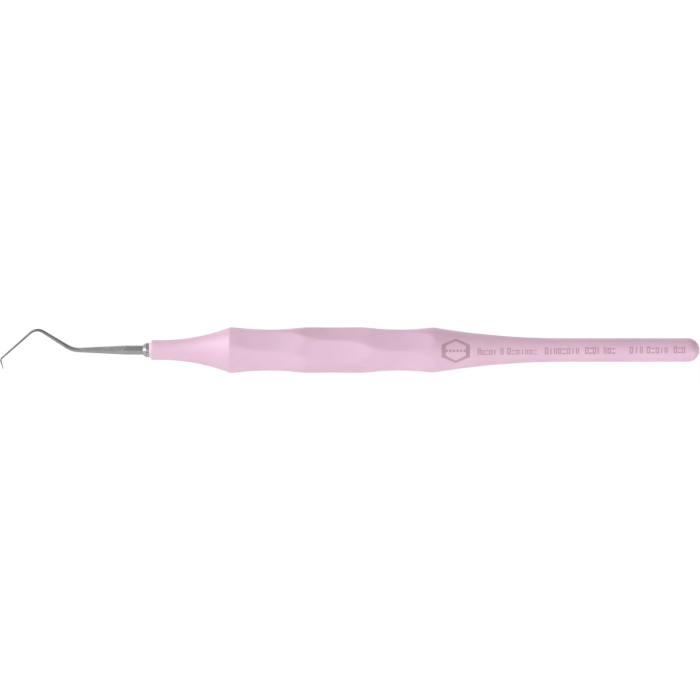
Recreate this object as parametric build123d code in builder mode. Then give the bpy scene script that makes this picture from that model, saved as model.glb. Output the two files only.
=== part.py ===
"""Dental explorer with a moulded resin grip and a bent steel working end.

Millimetres, +Z up.  The explorer lies as it comes to rest: the handle's axis runs along X at the height
of the grip's radius, with a scallop of each outer row facing straight down, and the working end points to
-X.  All the bends lie in one plane through the handle's axis, which leans up towards +Y.
The origin is under the middle of the whole length, on the surface that the grip lies on.
"""

from build123d import *
from math import cos, radians, sin, sqrt
import os

os.makedirs("parts", exist_ok=True)

# ---- overall ----
overall_length = 175.0
handle_length = 137.2

# ---- grip: outside ----
grip_radius = 5.68
neck_radius = 2.47
neck_length = 2.25
neck_edge_radius = 0.35
flare_arc_radius = 49.0
shoulder_edge_radius = 0.2
body_length = 50.7  # shoulder to crest
crest_edge_radius = 14.0
taper_arc_radius = 200.0
barrel_radius = 2.93

# ---- grip: finger scallops, alternate rows turned by half a step ----
scallop_rows = 3
scallops_per_row = 6
scallop_depth = 0.72
scallop_cutter_radius = 54.0
scallop_row_pitch = 16.25
first_scallop_from_shoulder = 9.8

# ---- ferrule and washer in front of the grip ----
collar_length = 1.6
collar_radius = 1.81
collar_bevel_length = 0.75
collar_nose_radius = 1.26
collar_edge_chamfer = 0.08
washer_thickness = 0.42
washer_radius = 1.95
washer_edge_radius = 0.1

# ---- working end: one bar, six-sided at the collar and round past its second bend ----
# Half widths lie in the plane of the bends; roundness is each section's corner radius as a share
# of the distance from its centre to its flats.
bend_plane_lean = 26.0  # degrees from level, measured against the scallops that face down
shank_sides = 6
shank_roll = -10.0  # degrees from the bends' plane
shank_half_width = 1.157
shank_roundness = 0.12
shank_parallel_length = 4.2
waist_half_width = 0.585
waist_roundness = 0.2
first_turn = 31.8  # degrees
first_bend_radius = 6.1
first_run = 10.65
first_run_half_width = 0.55
first_run_roundness = 0.3
apex_entry_half_width = 0.40
apex_entry_roundness = 0.6
second_turn = 73.2
second_bend_radius = 2.7
apex_exit_half_width = 0.29
second_run = 12.0
wire_roundness = 0.96
hook_entry_half_width = 0.2
hook_turn = 64.7
hook_bend_radius = 0.9
hook_length = 2.53
hook_exit_half_width = 0.17
point_half_width = 0.06

# ---- inside the grip ----
bond_gap = 0.02  # film of adhesive between bonded faces
tang_radius = 1.0
tang_length = 17.0
tang_chamfer = 0.25
bush_radius = 1.7
bush_length = 13.0
spigot_length = 5.0
tube_wall = 0.4
tube_end_to_barrel_end = 9.0
pin_radius = 0.4
pin_clearance = 0.01
pin_from_grip_front = 6.5
pin_end_setback = 0.05
plug_stem_length = 5.0
plug_head_length = 1.0

# ---- stations along X ----
axis_height = grip_radius
rear_x = overall_length / 2
grip_front_x = rear_x - handle_length
washer_front_x = grip_front_x - washer_thickness
collar_front_x = washer_front_x - collar_length
neck_end_x = grip_front_x + neck_length
barrel_end_x = rear_x - barrel_radius


def arc_reach(arc_radius, rise):
    """Length along the axis over which an arc that starts level climbs by `rise`."""
    return sqrt(arc_radius**2 - (arc_radius - rise) ** 2)


shoulder_x = neck_end_x + arc_reach(flare_arc_radius, grip_radius - neck_radius)
crest_x = shoulder_x + body_length
barrel_start_x = crest_x + arc_reach(taper_arc_radius, grip_radius - barrel_radius)

bush_end_x = grip_front_x + bush_length
tube_end_x = barrel_end_x - tube_end_to_barrel_end
bore_radius = bush_radius + bond_gap
bore_end_x = tube_end_x + plug_head_length + bond_gap
tube_bore_radius = bush_radius - tube_wall
tang_hole_radius = tang_radius + bond_gap
pin_x = grip_front_x + pin_from_grip_front

# ---- planes and axes ----
handle_axis = Axis((0, 0, axis_height), (1, 0, 0))


def axial_plane(angle=0):
    """Plane that holds the handle's axis, with its upward side turned `angle` degrees from +Z to -Y."""
    across = (0, -cos(radians(angle)), -sin(radians(angle)))
    return Plane(origin=(0, 0, axis_height), x_dir=(1, 0, 0), z_dir=across)


def cross_plane(x):
    """Plane across the handle's axis at `x`, facing the rear."""
    return Plane(origin=(x, 0, axis_height), x_dir=(0, 1, 0), z_dir=(1, 0, 0))


pin_plane = Plane(origin=(pin_x, 0, axis_height), x_dir=(1, 0, 0), z_dir=(0, 0, 1))
bend_plane = Plane(
    origin=(0, 0, axis_height),
    x_dir=(1, 0, 0),
    z_dir=(0, -sin(radians(bend_plane_lean)), cos(radians(bend_plane_lean))),
)


# ---- grip_body: moulded resin handle with a blind bore from its front face ----
with BuildPart() as grip_body:
    with BuildSketch(axial_plane()):
        with BuildLine():
            Line((grip_front_x, 0), (grip_front_x, neck_radius))
            Line((grip_front_x, neck_radius), (neck_end_x, neck_radius))
            TangentArc((neck_end_x, neck_radius), (shoulder_x, grip_radius), tangent=(1, 0))
            Line((shoulder_x, grip_radius), (crest_x, grip_radius))
            TangentArc((barrel_start_x, barrel_radius), (crest_x, grip_radius), tangent=(-1, 0))
            Line((barrel_start_x, barrel_radius), (barrel_end_x, barrel_radius))
            TangentArc((barrel_end_x, barrel_radius), (rear_x, 0), tangent=(1, 0))
            Line((rear_x, 0), (grip_front_x, 0))
        make_face()
        fillet(vertices().sort_by_distance((grip_front_x, neck_radius))[0], neck_edge_radius)
        fillet(vertices().sort_by_distance((shoulder_x, grip_radius))[0], shoulder_edge_radius)
        fillet(vertices().sort_by_distance((crest_x, grip_radius))[0], crest_edge_radius)
    revolve(axis=handle_axis)

    # Each scallop is the edge of a large cylinder that lies across the handle.
    for row in range(scallop_rows):
        row_x = shoulder_x + first_scallop_from_shoulder + row * scallop_row_pitch
        half_step = 0.5 * (row % 2)
        for place in range(scallops_per_row):
            angle = (place + half_step) * 360 / scallops_per_row
            with BuildSketch(axial_plane(angle)):
                with Locations((row_x, grip_radius - scallop_depth + scallop_cutter_radius)):
                    Circle(scallop_cutter_radius)
            extrude(amount=grip_radius, both=True, mode=Mode.SUBTRACT)

    with BuildSketch(cross_plane(grip_front_x)):
        Circle(bore_radius)
    extrude(amount=bore_end_x - grip_front_x, mode=Mode.SUBTRACT)


# ---- front_collar: bevelled ferrule that the shank's shoulder butts against ----
with BuildPart() as front_collar:
    with BuildSketch(axial_plane()):
        with BuildLine():
            Polyline(
                (collar_front_x, tang_hole_radius),
                (collar_front_x, collar_nose_radius),
                (collar_front_x + collar_bevel_length, collar_radius),
                (washer_front_x, collar_radius),
                (washer_front_x, tang_hole_radius),
                close=True,
            )
        make_face()
        chamfer(vertices().sort_by_distance((washer_front_x, collar_radius))[0], collar_edge_chamfer)
    revolve(axis=handle_axis)


# ---- seal_washer: pale ring between the ferrule and the grip ----
with BuildPart() as seal_washer:
    with BuildSketch(cross_plane(washer_front_x)):
        Circle(washer_radius)
        Circle(tang_hole_radius, mode=Mode.SUBTRACT)
    extrude(amount=washer_thickness)
    rims = edges().filter_by(GeomType.CIRCLE).group_by(SortBy.RADIUS)[-1]
    fillet(rims, washer_edge_radius)


# ---- working_end: tang, six-sided shank, two bends and the hooked point, from one bar ----
def step(point, heading, length):
    """Point `length` further from `point` at `heading` degrees from +X towards +Y."""
    return (point[0] + length * cos(radians(heading)), point[1] + length * sin(radians(heading)))


taper_start_x = collar_front_x - shank_parallel_length
first_heading = 180 - first_turn
second_heading = first_heading + second_turn
hook_heading = second_heading + hook_turn

# The outer side of the hook's bend is the explorer's front end, and its corner lies inside that.
hook_centre_heading = second_heading + hook_turn / 2 + 90
hook_centre_offset = hook_bend_radius / cos(radians(hook_turn / 2)) * cos(radians(hook_centre_heading))
hook_corner_x = hook_exit_half_width + hook_bend_radius - hook_centre_offset - overall_length / 2
bent_reach = first_run * cos(radians(first_turn)) - second_run * cos(radians(second_heading))
first_corner = (hook_corner_x + bent_reach, 0)
apex = step(first_corner, first_heading, first_run)
hook_corner = step(apex, second_heading, second_run)
point_end = step(hook_corner, hook_heading, hook_length)

# On a sharp-cornered section, the half width in the plane of the bends over the flats' distance.
edge_lean = cos(radians(180 / shank_sides + shank_roll)) / cos(radians(180 / shank_sides))

with BuildPart() as working_end:
    with BuildLine(bend_plane) as bar_line:
        Line((collar_front_x, 0), (taper_start_x, 0))
        FilletPolyline(
            (taper_start_x, 0),
            first_corner,
            apex,
            hook_corner,
            point_end,
            radius=[first_bend_radius, second_bend_radius, hook_bend_radius],
        )
    stretches = bar_line.edges().sort_by(bar_line.wire())
    sections = [
        (shank_half_width, shank_roundness),
        (shank_half_width, shank_roundness),
        (waist_half_width, waist_roundness),
        (first_run_half_width, first_run_roundness),
        (apex_entry_half_width, apex_entry_roundness),
        (apex_exit_half_width, wire_roundness),
        (hook_entry_half_width, wire_roundness),
        (hook_exit_half_width, wire_roundness),
        (point_half_width, wire_roundness),
    ]
    for stretch, start_section, end_section in zip(stretches, sections, sections[1:]):
        for share, (half_width, roundness) in ((0, start_section), (1, end_section)):
            flat_distance = half_width / ((1 - roundness) * edge_lean + roundness)
            with BuildSketch(Plane(stretch @ share, x_dir=bend_plane.z_dir, z_dir=stretch % share)):
                RegularPolygon(flat_distance, shank_sides, major_radius=False, rotation=shank_roll)
                fillet(vertices(), roundness * flat_distance)
        if stretch.geom_type == GeomType.LINE:
            loft(ruled=True)
        else:
            sweep(path=stretch, multisection=True)

    with BuildSketch(cross_plane(collar_front_x)):
        Circle(tang_radius)
    extrude(amount=grip_front_x - collar_front_x + tang_length)
    chamfer(edges().sort_by(Axis.X)[-1], tang_chamfer)
    with BuildSketch(pin_plane):
        Circle(pin_radius + pin_clearance)
    extrude(amount=bush_radius, both=True, mode=Mode.SUBTRACT)


# ---- tang_bush: sleeve bonded in the grip's mouth, with a spigot that enters the tube ----
with BuildPart() as tang_bush:
    with BuildSketch(cross_plane(grip_front_x)):
        Circle(bush_radius)
    extrude(amount=bush_length)
    with BuildSketch(cross_plane(bush_end_x)):
        Circle(tube_bore_radius - bond_gap)
    extrude(amount=spigot_length)
    with BuildSketch(cross_plane(grip_front_x)):
        Circle(tang_hole_radius)
    extrude(amount=bush_length + spigot_length, mode=Mode.SUBTRACT)
    with BuildSketch(pin_plane):
        Circle(pin_radius + pin_clearance)
    extrude(amount=2 * bush_radius, both=True, mode=Mode.SUBTRACT)


# ---- tang_pin: cross pin that keeps the tang from pulling out of the bush ----
with BuildPart() as tang_pin:
    with BuildSketch(pin_plane):
        Circle(pin_radius)
    extrude(amount=bush_radius - pin_end_setback, both=True)


# ---- core_tube: steel tube that stiffens the handle ----
with BuildPart() as core_tube:
    with BuildSketch(cross_plane(bush_end_x)):
        Circle(bush_radius)
        Circle(tube_bore_radius, mode=Mode.SUBTRACT)
    extrude(amount=tube_end_x - bush_end_x)


# ---- rear_plug: stopper that keeps the resin out of the tube ----
with BuildPart() as rear_plug:
    with BuildSketch(cross_plane(tube_end_x)):
        Circle(bush_radius)
    extrude(amount=plug_head_length)
    with BuildSketch(cross_plane(tube_end_x)):
        Circle(tube_bore_radius - bond_gap)
    extrude(amount=-plug_stem_length)


pieces = {
    "working_end": working_end,
    "front_collar": front_collar,
    "seal_washer": seal_washer,
    "tang_bush": tang_bush,
    "tang_pin": tang_pin,
    "core_tube": core_tube,
    "rear_plug": rear_plug,
    "grip_body": grip_body,
}
for node, piece in pieces.items():
    piece.part.label = node
    export_step(piece.part, f"parts/{node}.step")
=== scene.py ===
"""Looks of the dental explorer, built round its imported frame.

The explorer lies on a white table with its working end towards -X.  The handle's axis runs along X, and
the bends lie in a plane that leans up towards +Y; the camera looks straight at that plane.
Pieces are modelled in millimetres on the handle's axis, then scaled to metres and lifted to its height.
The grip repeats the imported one's outline with more faces and softer ridges, so its sizes are the part's.
"""

import logging
import math
from dataclasses import dataclass, field
from enum import Enum

import bmesh
import bpy
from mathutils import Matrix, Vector


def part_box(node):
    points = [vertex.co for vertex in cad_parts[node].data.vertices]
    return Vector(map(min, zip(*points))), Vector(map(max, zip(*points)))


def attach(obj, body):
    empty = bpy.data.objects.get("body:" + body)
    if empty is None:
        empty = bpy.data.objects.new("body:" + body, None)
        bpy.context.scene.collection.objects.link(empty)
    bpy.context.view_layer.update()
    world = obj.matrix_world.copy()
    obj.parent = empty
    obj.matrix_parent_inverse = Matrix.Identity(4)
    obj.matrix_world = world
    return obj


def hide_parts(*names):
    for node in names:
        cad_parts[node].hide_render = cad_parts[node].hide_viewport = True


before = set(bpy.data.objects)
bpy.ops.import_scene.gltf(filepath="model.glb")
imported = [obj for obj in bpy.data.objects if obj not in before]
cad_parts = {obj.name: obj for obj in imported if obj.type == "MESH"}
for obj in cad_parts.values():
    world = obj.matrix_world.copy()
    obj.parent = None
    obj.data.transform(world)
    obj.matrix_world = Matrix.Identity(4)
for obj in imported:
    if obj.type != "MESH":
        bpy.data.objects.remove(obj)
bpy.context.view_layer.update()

MM = 0.001
BODY = "root"
LEAN = math.radians(26.0)  # of the bends' plane, up from level towards +Y
SMALLEST_GAP = 1e-5  # doubles closer than this, in millimetres, are one vertex

Triple = tuple[float, float, float]
Colour = Triple
NodeTree = bpy.types.NodeTree
Socket = bpy.types.NodeSocket

WHITE: Colour = (1.0, 1.0, 1.0)

log = logging.getLogger("explorer")


def srgb(red: int, green: int, blue: int) -> Colour:
    """Linear colour of an 8-bit swatch.

    Args:
        red: red of the swatch, 0 to 255.
        green: green of the swatch, 0 to 255.
        blue: blue of the swatch, 0 to 255.

    Returns:
        The same colour in linear light.
    """
    shares = (value / 255 for value in (red, green, blue))
    return tuple(share / 12.92 if share <= 0.04045 else ((share + 0.055) / 1.055) ** 2.4 for share in shares)


def opaque(colour: Colour) -> tuple[float, float, float, float]:
    """Colour with full alpha, as colour sockets take it."""
    return (*colour, 1.0)


# ---------------------------------------------------------------------------- finishes


class Bench:
    """A material's node tree, with a short call for each node that the finishes use."""

    def __init__(self, name: str) -> None:
        """Starts a material with a Principled shader.

        Args:
            name: the material's name.
        """
        self.material = bpy.data.materials.new(name)
        self.material.use_nodes = True
        self.tree: NodeTree = self.material.node_tree
        self.tree.nodes.clear()
        self.shader = self.tree.nodes.new("ShaderNodeBsdfPrincipled")
        output = self.tree.nodes.new("ShaderNodeOutputMaterial")
        self.tree.links.new(self.shader.outputs["BSDF"], output.inputs["Surface"])

    def set(self, **values: float | Colour) -> None:
        """Sets sockets of the shader that are the same all over; underscores stand for spaces."""
        for name, value in values.items():
            socket = self.shader.inputs[name.replace("_", " ")]
            socket.default_value = opaque(value) if socket.type == "RGBA" else value

    def link(self, source: Socket, name: str) -> None:
        """Joins a node's output to the shader's socket of that name."""
        self.tree.links.new(source, self.shader.inputs[name])

    def place(self, stretch: Triple = (1.0, 1.0, 1.0)) -> Socket:
        """The piece's own coordinates.

        Args:
            stretch: how many times finer the pattern is along X, Y and Z.

        Returns:
            The socket that gives them.
        """
        coordinates = self.tree.nodes.new("ShaderNodeTexCoord")
        mapping = self.tree.nodes.new("ShaderNodeMapping")
        mapping.inputs["Scale"].default_value = stretch
        self.tree.links.new(coordinates.outputs["Object"], mapping.inputs["Vector"])
        return mapping.outputs["Vector"]

    def along(self) -> Socket:
        """The piece's own X coordinate, in metres."""
        split = self.tree.nodes.new("ShaderNodeSeparateXYZ")
        self.tree.links.new(self.place(), split.inputs["Vector"])
        return split.outputs["X"]

    def attribute(self, name: str) -> Socket:
        """The value that the piece's mesh holds under that name."""
        node = self.tree.nodes.new("ShaderNodeAttribute")
        node.attribute_name = name
        return node.outputs["Fac"]

    def noise(self, place: Socket, grain: float, detail: float, roughness: float = 0.5) -> Socket:
        """Cloudy noise from 0 to 1.

        Args:
            place: coordinates in metres.
            grain: size of its lumps, in millimetres.
            detail: how many finer layers it has.
            roughness: how strong the finer layers are.

        Returns:
            The noise's value.
        """
        node = self.tree.nodes.new("ShaderNodeTexNoise")
        node.inputs["Scale"].default_value = 1.0 / (grain * MM)
        node.inputs["Detail"].default_value = detail
        node.inputs["Roughness"].default_value = roughness
        self.tree.links.new(place, node.inputs["Vector"])
        return node.outputs["Fac"]

    def spread(self, value: Socket, low: float, high: float, start: float = 0.3, end: float = 0.7) -> Socket:
        """Maps a value's range from start to end onto low to high, and clamps it.

        Args:
            value: the value to map.
            low: result at start.
            high: result at end.
            start: where the range starts.
            end: where the range ends.

        Returns:
            The mapped value.
        """
        node = self.tree.nodes.new("ShaderNodeMapRange")
        for name, number in (("From Min", start), ("From Max", end), ("To Min", low), ("To Max", high)):
            node.inputs[name].default_value = number
        self.tree.links.new(value, node.inputs["Value"])
        return node.outputs["Result"]

    def blend(self, share: Socket, first: Colour | Socket, second: Colour | Socket) -> Socket:
        """Mixes two colours.

        Args:
            share: how much of the second, 0 to 1.
            first: a colour, or a socket that gives one.
            second: a colour, or a socket that gives one.

        Returns:
            The mixed colour.
        """
        node = self.tree.nodes.new("ShaderNodeMix")
        node.data_type = "RGBA"
        self.tree.links.new(share, node.inputs["Factor"])
        # The node repeats its sockets for each kind of value: these are the colour ones.
        for socket, colour in ((node.inputs[6], first), (node.inputs[7], second)):
            if isinstance(colour, tuple):
                socket.default_value = opaque(colour)
            else:
                self.tree.links.new(colour, socket)
        return node.outputs[2]

    def bump(self, height: Socket, depth: float) -> None:
        """Gives the shader's normal the relief of a height.

        Args:
            height: relief from 0 to 1.
            depth: how deep it is, in millimetres.
        """
        node = self.tree.nodes.new("ShaderNodeBump")
        node.inputs["Distance"].default_value = depth * MM
        self.tree.links.new(height, node.inputs["Height"])
        self.link(node.outputs["Normal"], "Normal")


@dataclass(frozen=True)
class ResinFinish:
    """Satin moulded resin with a faint cloudiness, a fine eroded texture and a painted highlight on its
    ridges.

    Sizes and depths are in millimetres.
    """

    name: str = "satin_pink_resin"
    pale: Colour = srgb(222, 186, 207)
    deep: Colour = srgb(218, 180, 202)
    # lighter colour for the ridges: a painted highlight
    ridge: Colour = srgb(229, 198, 213)
    cloud_size: float = 9.0
    patch_size: float = 2.25
    texture_size: float = 0.16
    texture_depth: float = 0.006
    satin: float = 0.46
    handled: float = 0.38
    ridge_highlight: float = 0.12  # share of the lighter ridge colour on a ridge: a painted highlight
    sheen: float = 1.0
    soak: float = 0.12  # share of the light that goes under the skin
    soak_depth: float = 0.6
    soak_reach: Triple = (1.0, 0.5, 0.6)  # how far red, green and blue go, in soak depths

    def material(self) -> bpy.types.Material:
        """The finish as a material, which reads the mesh's "ridge" value."""
        bench = Bench(self.name)
        place = bench.place()
        ridge = bench.attribute("ridge")
        cloud = bench.spread(bench.noise(place, self.cloud_size, detail=3.0), 0.0, 1.0)
        body = bench.blend(cloud, self.deep, self.pale)
        # Lighter colour towards the ridges: a painted highlight.
        share = bench.spread(ridge, 0.0, self.ridge_highlight, start=0.0, end=1.0)
        bench.link(bench.blend(share, body, self.ridge), "Base Color")
        patch = bench.noise(place, self.patch_size, detail=4.0, roughness=0.6)
        bench.link(bench.spread(patch, self.handled, self.satin), "Roughness")
        bench.bump(bench.noise(place, self.texture_size, detail=3.0, roughness=0.65), self.texture_depth)
        bench.set(IOR=1.5, Specular_IOR_Level=self.sheen, Subsurface_Weight=self.soak)
        bench.set(Subsurface_Scale=self.soak_depth * MM, Subsurface_Radius=self.soak_reach)
        return bench.material


class Lay(Enum):
    """Which way the fine lines of a polished steel piece run, as how much finer they are along X, Y and Z."""

    LENGTHWISE = (0.05, 1.0, 1.0)
    ROUND = (1.0, 0.08, 0.08)


@dataclass(frozen=True)
class SteelFinish:
    """Fine-polished stainless steel with hairlines and slightly duller patches.

    Sizes, depths and places are in millimetres.
    """

    name: str
    lay: Lay
    bright: Colour = (0.40, 0.40, 0.396)
    dull: Colour = (0.33, 0.33, 0.33)
    patch_size: float = 2.5
    line_size: float = 0.05
    line_depth: float = 0.0012
    smooth: float = 0.16
    rough: float = 0.30
    # darker steel colour towards the hook's tip, from `tempered_from` to `tempered_to` along X; only the
    # colour is changed
    tempered: Colour = (0.17, 0.17, 0.172)
    tempered_from: float = -74.0
    tempered_to: float = -79.0

    def material(self) -> bpy.types.Material:
        """The finish as a material: from `tempered_from` to `tempered_to` along X the steel gets darker."""
        bench = Bench(self.name)
        lines = bench.noise(bench.place(self.lay.value), self.line_size, detail=4.0, roughness=0.7)
        patch = bench.noise(bench.place(), self.patch_size, detail=3.0, roughness=0.6)
        steel = bench.blend(bench.spread(patch, 0.0, 1.0), self.dull, self.bright)
        # The steel's colour gets darker towards the tip.
        start, end = self.tempered_from * MM, self.tempered_to * MM
        fade = bench.spread(bench.along(), 0.0, 1.0, start=start, end=end)
        bench.link(bench.blend(fade, steel, self.tempered), "Base Color")
        bench.link(bench.spread(lines, self.smooth, self.rough), "Roughness")
        bench.bump(lines, self.line_depth)
        bench.set(Metallic=1.0)
        return bench.material


@dataclass(frozen=True)
class MouldedFinish:
    """A plain moulded or turned part of one colour, with faint clouding and a fine texture.

    Grain and depth are in millimetres.
    """

    name: str
    light: Colour
    dark: Colour
    roughness: float = 0.5
    metallic: float = 0.0
    unevenness: float = 0.06  # of the roughness, either way
    grain: float = 0.12
    cloud_grains: float = 14.0  # size of a cloud, in grains
    depth: float = 0.003

    def material(self) -> bpy.types.Material:
        """The finish as a material."""
        bench = Bench(self.name)
        place = bench.place()
        cloud = bench.noise(place, self.cloud_grains * self.grain, detail=3.0, roughness=0.6)
        bench.link(bench.blend(bench.spread(cloud, 0.0, 1.0), self.dark, self.light), "Base Color")
        smoothest, roughest = self.roughness - self.unevenness, self.roughness + self.unevenness
        bench.link(bench.spread(cloud, smoothest, roughest), "Roughness")
        bench.bump(bench.noise(place, self.grain, detail=3.0, roughness=0.6), self.depth)
        bench.set(Metallic=self.metallic)
        return bench.material


# ---------------------------------------------------------------------------- mesh helpers


def place_piece(name: str, shape: bmesh.types.BMesh, axis_height: float, sharp: float) -> bpy.types.Object:
    """Turns a shape in millimetres on the handle's axis into a piece in the frame.

    Args:
        name: the piece's name.
        shape: the finished shape, which is freed.
        axis_height: height of the handle's axis, in metres.
        sharp: edges that turn by more degrees than this stay crisp.

    Returns:
        The piece, which rides on the explorer's only body.
    """
    bmesh.ops.scale(shape, vec=(MM, MM, MM), verts=shape.verts)
    bmesh.ops.translate(shape, vec=(0.0, 0.0, axis_height), verts=shape.verts)
    mesh = bpy.data.meshes.new(name)
    shape.to_mesh(mesh)
    shape.free()
    mesh.shade_smooth()
    mesh.set_sharp_from_angle(angle=math.radians(sharp))
    piece = bpy.data.objects.new(name, mesh)
    bpy.context.scene.collection.objects.link(piece)
    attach(piece, BODY)
    return piece


def dress(piece: bpy.types.Object, material: bpy.types.Material) -> None:
    """Puts one material on the whole of a piece."""
    if not piece.material_slots:
        piece.data.materials.append(None)
    for slot in piece.material_slots:
        slot.material = material


class Outline:
    """Half section of a turned shape: x along the axis and y out from it, drawn as one chain of edges."""

    def __init__(self, x: float, radius: float) -> None:
        """Starts the chain at one point."""
        self.shape = bmesh.new()
        self.end = bmesh.ops.create_vert(self.shape, co=(x, radius, 0.0))["vert"][0]

    def line(self, x: float, radius: float, parts: int = 1) -> None:
        """Draws a straight run.

        Args:
            x: end of the run along the axis.
            radius: end of the run out from the axis.
            parts: how many edges it has.
        """
        start, stop = self.end.co.copy(), Vector((x, radius, 0.0))
        for part in range(1, parts + 1):
            self.end = bmesh.ops.extrude_vert_indiv(self.shape, verts=[self.end])["verts"][0]
            self.end.co = start.lerp(stop, part / parts)

    def arc(self, centre_x: float, centre_radius: float, turn: float, parts: int) -> None:
        """Draws an arc from where the outline has got to.

        Args:
            centre_x: the arc's centre along the axis.
            centre_radius: the arc's centre out from the axis.
            turn: angle from start to end in radians, positive from +X towards outwards.
            parts: how many edges it has.
        """
        centre = (centre_x, centre_radius, 0.0)
        swept = bmesh.ops.spin(
            self.shape, geom=[self.end], cent=centre, axis=(0.0, 0.0, 1.0), angle=turn, steps=parts
        )
        self.end = next(part for part in swept["geom_last"] if isinstance(part, bmesh.types.BMVert))

    def turned(self, parts: int) -> bmesh.types.BMesh:
        """Spins the outline round the axis into a closed shape.

        Args:
            parts: how many faces go round.

        Returns:
            The shape, with its faces outwards.
        """
        bmesh.ops.remove_doubles(self.shape, verts=self.shape.verts, dist=SMALLEST_GAP)
        chain = [*self.shape.verts, *self.shape.edges]
        bmesh.ops.spin(
            self.shape,
            geom=chain,
            cent=(0.0, 0.0, 0.0),
            axis=(1.0, 0.0, 0.0),
            angle=math.tau,
            steps=parts,
            use_merge=True,
        )
        bmesh.ops.remove_doubles(self.shape, verts=self.shape.verts, dist=SMALLEST_GAP)
        bmesh.ops.recalc_face_normals(self.shape, faces=self.shape.faces)
        return self.shape


# ---------------------------------------------------------------------------- grip


@dataclass
class Grip:
    """Moulded handle: thin neck, flare, scalloped body, long taper, barrel and round end.  Millimetres."""

    front_x: float
    rear_x: float
    axis_height: float
    radius: float
    neck_radius: float = 2.47
    neck_length: float = 2.25
    neck_edge: float = 0.35
    flare_radius: float = 49.0
    shoulder_edge: float = 0.2
    body_length: float = 50.7
    crest_edge: float = 14.0
    taper_radius: float = 200.0
    barrel_radius: float = 2.93
    bore_radius: float = 1.72
    bore_length: float = 126.29
    scallop_rows: int = 3
    scallops_per_row: int = 6
    scallop_depth: float = 0.72
    scallop_cutter: float = 54.0
    scallop_pitch: float = 16.25
    first_scallop: float = 9.8
    pressed_before_shoulder: float = 1.0
    ridge_softness: float = 0.055
    faces_round: int = 180

    def __post_init__(self) -> None:
        """Works out where the runs of the outline meet."""
        self.neck_end = self.front_x + self.neck_length
        climb = self.radius - self.neck_radius
        reach = math.sqrt(self.flare_radius**2 - (self.flare_radius - climb) ** 2)
        self.shoulder_x = self.neck_end + reach
        crest_x = self.shoulder_x + self.body_length
        fall = self.radius - self.barrel_radius
        reach = math.sqrt(self.taper_radius**2 - (self.taper_radius - fall) ** 2)
        self.barrel_start = crest_x + reach
        self.barrel_end = self.rear_x - self.barrel_radius

    def skin_radius(self, x: float) -> float:
        """Radius of the plain turned surface behind the crest, at x along the axis."""
        before = max(0.0, self.barrel_start - x)
        return self.barrel_radius + self.taper_radius - math.sqrt(self.taper_radius**2 - before**2)

    def corner(self, low: float, arc_radius: float, edge: float) -> tuple[float, float]:
        """Rounds the corner between a hollow arc and the body.

        Args:
            low: the grip's radius where the hollow arc is level.
            arc_radius: the hollow arc's radius.
            edge: radius of the rounded corner.

        Returns:
            Distance along the axis between the two centres, and the angle that the hollow arc turns.
        """
        height = arc_radius + low - (self.radius - edge)
        reach = math.sqrt((arc_radius + edge) ** 2 - height**2)
        return reach, math.atan2(reach, height)

    def outline(self) -> Outline:
        """The grip's half section, from the end of its bore round to its rear end."""
        flare_reach, flare_turn = self.corner(self.neck_radius, self.flare_radius, self.shoulder_edge)
        taper_reach, taper_turn = self.corner(self.barrel_radius, self.taper_radius, self.crest_edge)
        bore_end = self.front_x + self.bore_length
        edge_centre = (self.front_x + self.neck_edge, self.neck_radius - self.neck_edge)
        shoulder_centre = (self.neck_end + flare_reach, self.radius - self.shoulder_edge)
        crest_centre = (self.barrel_start - taper_reach, self.radius - self.crest_edge)
        line = Outline(bore_end, 0.0)
        line.line(bore_end, self.bore_radius)
        line.line(self.front_x, self.bore_radius, parts=24)
        line.line(self.front_x, edge_centre[1])
        line.arc(*edge_centre, -math.pi / 2, parts=6)
        line.line(self.neck_end, self.neck_radius, parts=5)
        line.arc(self.neck_end, self.neck_radius + self.flare_radius, flare_turn, parts=44)
        line.arc(*shoulder_centre, -flare_turn, parts=5)
        line.line(crest_centre[0], self.radius, parts=150)
        line.arc(*crest_centre, -taper_turn, parts=8)
        line.arc(self.barrel_start, self.barrel_radius + self.taper_radius, taper_turn, parts=48)
        line.line(self.barrel_end, self.barrel_radius, parts=36)
        line.arc(self.barrel_end, 0.0, -math.pi / 2, parts=18)
        return line

    def scallop_limits(self, x: float, turn: float) -> list[float]:
        """How far out each scallop near a point lets the skin reach.

        Args:
            x: the point's place along the axis.
            turn: its angle round the axis, in radians from straight up towards +Y.

        Returns:
            A radius for each of the nearest two scallops of each row that comes near.
        """
        step = math.tau / self.scallops_per_row
        limits = []
        for row in range(self.scallop_rows):
            offset = x - (self.shoulder_x + self.first_scallop + row * self.scallop_pitch)
            if abs(offset) > self.scallop_pitch:
                continue
            fall = self.scallop_cutter - math.sqrt(self.scallop_cutter**2 - offset**2)
            flat = self.radius - self.scallop_depth + fall
            place = turn / step - 0.5 * (row % 2)  # every other row is turned by half a scallop
            turns = ((place - whole) * step for whole in (math.floor(place), math.ceil(place)))
            limits += [flat / math.cos(away) for away in turns]
        return limits

    def press_scallops(self, shape: bmesh.types.BMesh) -> None:
        """Presses the finger scallops into the turned body and notes how near each point is to a ridge.

        Args:
            shape: the turned grip, in millimetres on its axis.
        """
        ridge = shape.verts.layers.float.new("ridge")
        for vert in shape.verts:
            x, y, z = vert.co
            across = math.hypot(y, z)
            if across <= self.neck_radius or x < self.shoulder_x - self.pressed_before_shoulder:
                continue
            limits = [across, *self.scallop_limits(x, math.atan2(y, z))]
            lowest = min(limits)
            weights = [math.exp((lowest - limit) / self.ridge_softness) for limit in limits]
            pressed = lowest - self.ridge_softness * math.log(sum(weights))
            vert[ridge] = 2.0 - 2.0 * max(weights) / sum(weights)  # 1 where two faces meet, 0 away from it
            vert.co.y *= pressed / across
            vert.co.z *= pressed / across

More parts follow.
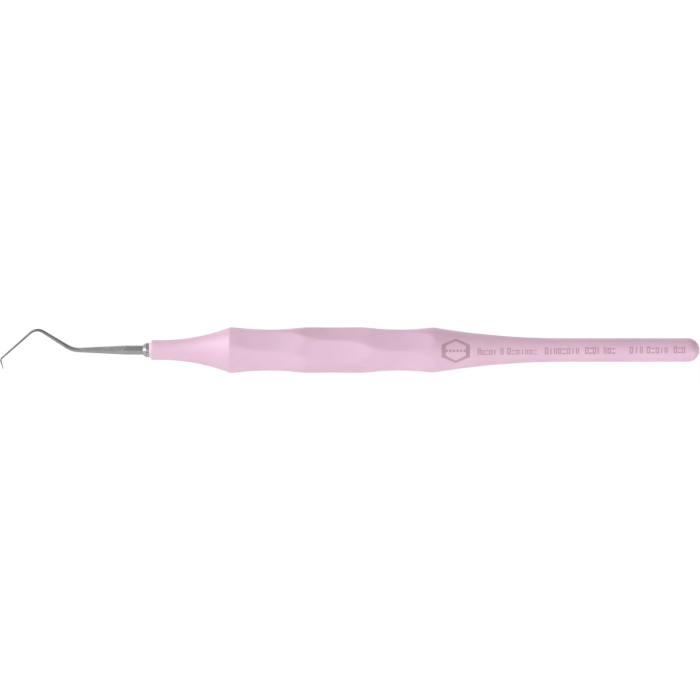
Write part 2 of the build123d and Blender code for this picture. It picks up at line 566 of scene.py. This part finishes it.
    def build(self, finish: ResinFinish) -> bpy.types.Object:
        """Makes the grip, which stands for the CAD node.

        Args:
            finish: the resin's finish.

        Returns:
            The grip's piece.
        """
        shape = self.outline().turned(self.faces_round)
        self.press_scallops(shape)
        piece = place_piece("grip_shell", shape, self.axis_height * MM, sharp=50.0)
        dress(piece, finish.material())
        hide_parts("grip_body")
        return piece


# ---------------------------------------------------------------------------- laser marks


class Sign(Enum):
    """Plain signs that fill a cell of the marks.

    Each bar is (offset, width, foot, height): the first two in millimetres, the others as shares of the sign.
    """

    POST = ((0.0, 0.3, 0.0, 1.0),)
    PAIR = ((-0.24, 0.28, 0.0, 1.0), (0.24, 0.28, 0.0, 1.0))
    RAILS = ((0.0, 0.8, 0.0, 0.22), (0.0, 0.8, 0.72, 0.22))
    FRAME = ((-0.3, 0.28, 0.0, 1.0), (0.3, 0.28, 0.0, 1.0), (0.0, 0.3, 0.0, 0.2), (0.0, 0.3, 0.8, 0.2))


@dataclass
class LaserMarks:
    """Plain marks on the taper and barrel: a six-sided tag, then rows of small signs.  Millimetres."""

    grip: Grip
    tag_centre: tuple[float, float] = (26.35, -0.2)
    tag_half_length: float = 4.1
    tag_half_height: float = 2.65
    tag_inside: tuple[float, float] = (0.7, 0.8)  # the hole's share of its length and height
    tag_cuts: int = 11
    tag_blocks: int = 6
    tag_block: float = 0.6
    tag_block_pitch: float = 0.9
    cell: float = 1.08  # room along the handle for one sign
    line_start: float = 34.0
    line_height: float = -1.2
    line_slant: float = 0.0085
    first_height: float = 1.7  # of the first sign of each row
    rows: tuple[Triple, ...] = (  # start, end and height of the signs
        (31.7, 36.6, 1.2),
        (37.2, 38.6, 1.2),
        (39.1, 46.8, 1.2),
        (48.5, 57.3, 1.5),
        (58.6, 62.4, 1.7),
        (63.1, 66.3, 1.5),
        (69.6, 73.3, 1.7),
        (73.9, 79.4, 1.5),
        (80.7, 83.7, 1.5),
    )
    order: tuple[Sign, ...] = (Sign.PAIR, Sign.FRAME, Sign.RAILS, Sign.FRAME, Sign.POST)
    bar_parts: int = 6
    proud: float = 0.012
    sunk: float = 0.03

    def bar(self, shape: bmesh.types.BMesh, x: float, foot: float, width: float, height: float) -> None:
        """Adds one upright or level bar.

        Args:
            shape: flat marks to add it to.
            x: its middle along the handle.
            foot: its lower side, across the handle.
            width: its size along the handle.
            height: its size across the handle.
        """
        grid = bmesh.ops.create_grid(shape, x_segments=1, y_segments=self.bar_parts, size=0.5)["verts"]
        bmesh.ops.scale(shape, vec=(width, height, 1.0), verts=grid)
        bmesh.ops.translate(shape, vec=(x, foot + height / 2, 0.0), verts=grid)

    def tag(self, shape: bmesh.types.BMesh) -> None:
        """Adds the tag, a six-sided ring with a row of blocks in it.

        Args:
            shape: flat marks to add it to.
        """
        tall = self.tag_half_height / math.sin(math.pi / 3)  # as a hexagon is lower than its circle
        for along, across in ((1.0, 1.0), self.tag_inside):
            ring = bmesh.ops.create_circle(shape, segments=6, radius=1.0)["verts"]
            bmesh.ops.scale(shape, vec=(self.tag_half_length * along, tall * across, 1.0), verts=ring)
            bmesh.ops.translate(shape, vec=(*self.tag_centre, 0.0), verts=ring)
        bmesh.ops.bridge_loops(shape, edges=list(shape.edges))
        bmesh.ops.subdivide_edges(shape, edges=list(shape.edges), cuts=self.tag_cuts, use_grid_fill=True)
        for place in range(self.tag_blocks):
            x = self.tag_centre[0] + (place - (self.tag_blocks - 1) / 2) * self.tag_block_pitch
            self.bar(shape, x, self.tag_centre[1] - self.tag_block / 2, self.tag_block, self.tag_block)

    def signs(self, shape: bmesh.types.BMesh) -> None:
        """Adds the rows of signs.

        Args:
            shape: flat marks to add them to.
        """
        drawn = 0
        for start, end, height in self.rows:
            count = max(1, round((end - start) / self.cell))
            for place in range(count):
                x = start + (place + 0.5) * (end - start) / count
                base = self.line_height + self.line_slant * (x - self.line_start)
                tall = height if place else self.first_height
                for offset, width, foot, share in self.order[drawn % len(self.order)].value:
                    self.bar(shape, x + offset, base + foot * tall, width, share * tall)
                drawn += 1

    def wrap(self, shape: bmesh.types.BMesh) -> None:
        """Bends marks, drawn flat in x and y, onto the grip's skin where it faces the camera.

        Args:
            shape: the marks, whose z of 0 becomes the skin.
        """
        up = Vector((0.0, math.cos(LEAN), math.sin(LEAN)))
        out = Vector((0.0, -math.sin(LEAN), math.cos(LEAN)))
        for vert in shape.verts:
            x, across, lift = vert.co
            radius = self.grip.skin_radius(x)
            side = math.asin(max(-1.0, min(1.0, across / radius)))
            vert.co = Vector((x, 0.0, 0.0)) + (up * math.sin(side) + out * math.cos(side)) * (radius + lift)

    def build(self, finish: MouldedFinish) -> bpy.types.Object:
        """Makes the marks as one thin piece let into the grip's skin.

        Args:
            finish: colour and texture of the marked resin.

        Returns:
            The marks' piece.
        """
        shape = bmesh.new()
        self.tag(shape)
        self.signs(shape)
        bmesh.ops.recalc_face_normals(shape, faces=shape.faces)
        grown = bmesh.ops.extrude_face_region(shape, geom=list(shape.faces))["geom"]
        top = [part for part in grown if isinstance(part, bmesh.types.BMVert)]
        bmesh.ops.translate(shape, vec=(0.0, 0.0, self.proud + self.sunk), verts=top)
        bmesh.ops.translate(shape, vec=(0.0, 0.0, -self.sunk), verts=shape.verts)
        bmesh.ops.recalc_face_normals(shape, faces=shape.faces)
        self.wrap(shape)
        piece = place_piece("grip_marks", shape, self.grip.axis_height * MM, sharp=40.0)
        dress(piece, finish.material())
        return piece


# ---------------------------------------------------------------------------- studio


@dataclass
class Softbox:
    """A rectangular soft lamp that points at the middle of the explorer.  Degrees and metres."""

    name: str
    azimuth: float
    elevation: float
    distance: float
    width: float
    height: float
    power: float

    def build(self, target: Vector) -> None:
        """Hangs the lamp.

        Args:
            target: the point that it faces.
        """
        lamp = bpy.data.lights.new(self.name, "AREA")
        lamp.shape = "RECTANGLE"
        lamp.size, lamp.size_y = self.width, self.height
        lamp.energy = self.power
        holder = bpy.data.objects.new(self.name, lamp)
        bpy.context.scene.collection.objects.link(holder)
        around, above = math.radians(self.azimuth), math.radians(self.elevation)
        level = math.cos(above)
        back = Vector((math.sin(around) * level, -math.cos(around) * level, math.sin(above)))
        holder.location = target + back * self.distance
        holder.rotation_euler = (-back).to_track_quat("-Z", "Y").to_euler()


@dataclass
class Studio:
    """White table, soft lamps and camera.  Metres."""

    axis_height: float
    lens: float = 150.0
    sensor: float = 36.0
    distance: float = 0.730
    aim_x: float = 0.00005
    floor_size: float = 6.0
    floor_white: float = 0.8
    floor_glow: float = 0.07
    seen_white: float = 0.12
    seen_glow: float = 0.92
    bright_side: Vector = field(default_factory=lambda: Vector((-1.0, 0.0, 0.0)))
    dim_sky: float = 0.0
    bright_sky: float = 0.983
    softboxes: list[Softbox] = field(
        default_factory=lambda: [  # azimuth, elevation, distance, width, height, watts
            Softbox("front_softbox", -25.0, 52.0, 0.9, 0.9, 0.5, 0.74),
            Softbox("left_softbox", -83.0, 18.0, 0.55, 0.3, 0.2, 0.4),
            Softbox("sheen_softbox", -60.0, 45.0, 0.7, 0.3, 0.3, 0.26),
            Softbox("left_back_softbox", -115.0, 42.0, 0.45, 0.3, 0.3, 0.86),
            Softbox("low_right_softbox", 45.0, 10.0, 0.8, 0.3, 0.2, 1.94),
            Softbox("low_front_strip", -8.0, 6.0, 0.7, 0.7, 0.12, 0.25),
            Softbox("right_softbox", 50.0, 30.0, 0.8, 0.4, 0.4, 0.91),
        ]
    )

    def camera(self) -> None:
        """Sets the camera square to the bends' plane, over the middle of the explorer."""
        data = bpy.data.cameras.new("studio_camera")
        data.lens, data.sensor_width = self.lens, self.sensor
        camera = bpy.data.objects.new("studio_camera", data)
        bpy.context.scene.collection.objects.link(camera)
        back = Vector((0.0, -math.sin(LEAN), math.cos(LEAN)))
        camera.location = Vector((self.aim_x, 0.0, self.axis_height)) + back * self.distance
        camera.rotation_euler = (-back).to_track_quat("-Z", "Y").to_euler()
        bpy.context.scene.camera = camera

    def floor(self) -> None:
        """Lays the white table.

        The camera sees it as just white, which keeps the thin wire's edges crisp, while the explorer is lit
        by a plain white surface with a faint glow.
        """
        shape = bmesh.new()
        bmesh.ops.create_grid(shape, x_segments=4, y_segments=4, size=self.floor_size / 2)
        mesh = bpy.data.meshes.new("white_table")
        shape.to_mesh(mesh)
        shape.free()
        table = bpy.data.objects.new("white_table", mesh)
        bpy.context.scene.collection.objects.link(table)
        bench = Bench("white_table")
        bench.set(Roughness=0.9, Specular_IOR_Level=0.0, Emission_Color=WHITE)
        seen = bench.tree.nodes.new("ShaderNodeLightPath").outputs["Is Camera Ray"]
        bench.link(bench.blend(seen, (self.floor_white,) * 3, (self.seen_white,) * 3), "Base Color")
        glow = bench.spread(seen, self.floor_glow, self.seen_glow, start=0.0, end=1.0)
        bench.link(glow, "Emission Strength")
        dress(table, bench.material)

    def light(self) -> None:
        """Hangs the lamps, and lights the room from `dim_sky` up to `bright_sky` on its bright side."""
        world = bpy.data.worlds.new("soft_room")
        world.use_nodes = True
        tree = world.node_tree
        coordinates = tree.nodes.new("ShaderNodeTexCoord")
        facing = tree.nodes.new("ShaderNodeVectorMath")
        facing.operation = "DOT_PRODUCT"
        facing.inputs[1].default_value = self.bright_side
        level = tree.nodes.new("ShaderNodeMapRange")  # a dot product runs from -1 to 1
        for name, number in (("From Min", -1.0), ("To Min", self.dim_sky), ("To Max", self.bright_sky)):
            level.inputs[name].default_value = number
        background = tree.nodes["Background"]
        background.inputs["Color"].default_value = opaque(WHITE)
        tree.links.new(coordinates.outputs["Generated"], facing.inputs[0])
        tree.links.new(facing.outputs["Value"], level.inputs["Value"])
        tree.links.new(level.outputs["Result"], background.inputs["Strength"])
        bpy.context.scene.world = world
        for softbox in self.softboxes:
            softbox.build(Vector((0.0, 0.0, self.axis_height)))
        bpy.context.scene.view_settings.view_transform = "Standard"

    def build(self) -> None:
        """Sets the whole studio up."""
        self.floor()
        self.light()
        self.camera()


# ---------------------------------------------------------------------------- assembly


def dress_fittings() -> None:
    """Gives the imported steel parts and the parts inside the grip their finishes."""
    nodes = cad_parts
    finishes = {
        "working_end": SteelFinish("polished_steel", Lay.LENGTHWISE),
        "front_collar": SteelFinish(
            "turned_steel", Lay.ROUND, bright=(0.5, 0.5, 0.495), dull=(0.4, 0.4, 0.4), smooth=0.1, rough=0.2
        ),
        "seal_washer": MouldedFinish("pale_washer", srgb(246, 232, 239), srgb(238, 222, 230)),
        "tang_bush": MouldedFinish(
            "turned_brass", (0.80, 0.62, 0.32), (0.68, 0.50, 0.24), roughness=0.32, metallic=1.0
        ),
        "tang_pin": SteelFinish("pin_steel", Lay.ROUND),
        "core_tube": SteelFinish("drawn_tube", Lay.LENGTHWISE),
        "rear_plug": MouldedFinish("plug_rubber", (0.06, 0.06, 0.06), (0.03, 0.03, 0.03), roughness=0.7),
    }
    for node, finish in finishes.items():
        dress(nodes[node], finish.material())
        log.info("%s wears %s", node, finish.name)


def main() -> None:
    """Builds the explorer's looks and its studio."""
    logging.basicConfig(level=logging.INFO, format="%(name)s: %(message)s")
    low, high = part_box("grip_body")
    height = (low.z + high.z) / 2
    Studio(axis_height=height).build()
    grip = Grip(
        front_x=low.x / MM, rear_x=high.x / MM, axis_height=height / MM, radius=(high.z - low.z) / 2 / MM
    )
    marked = MouldedFinish("laser_marks", srgb(186, 151, 167), srgb(176, 142, 158), roughness=0.6)
    for piece in (grip.build(ResinFinish()), LaserMarks(grip).build(marked)):
        log.info("%s: %d faces", piece.name, len(piece.data.polygons))
    dress_fittings()


if __name__ == "__main__":
    main()
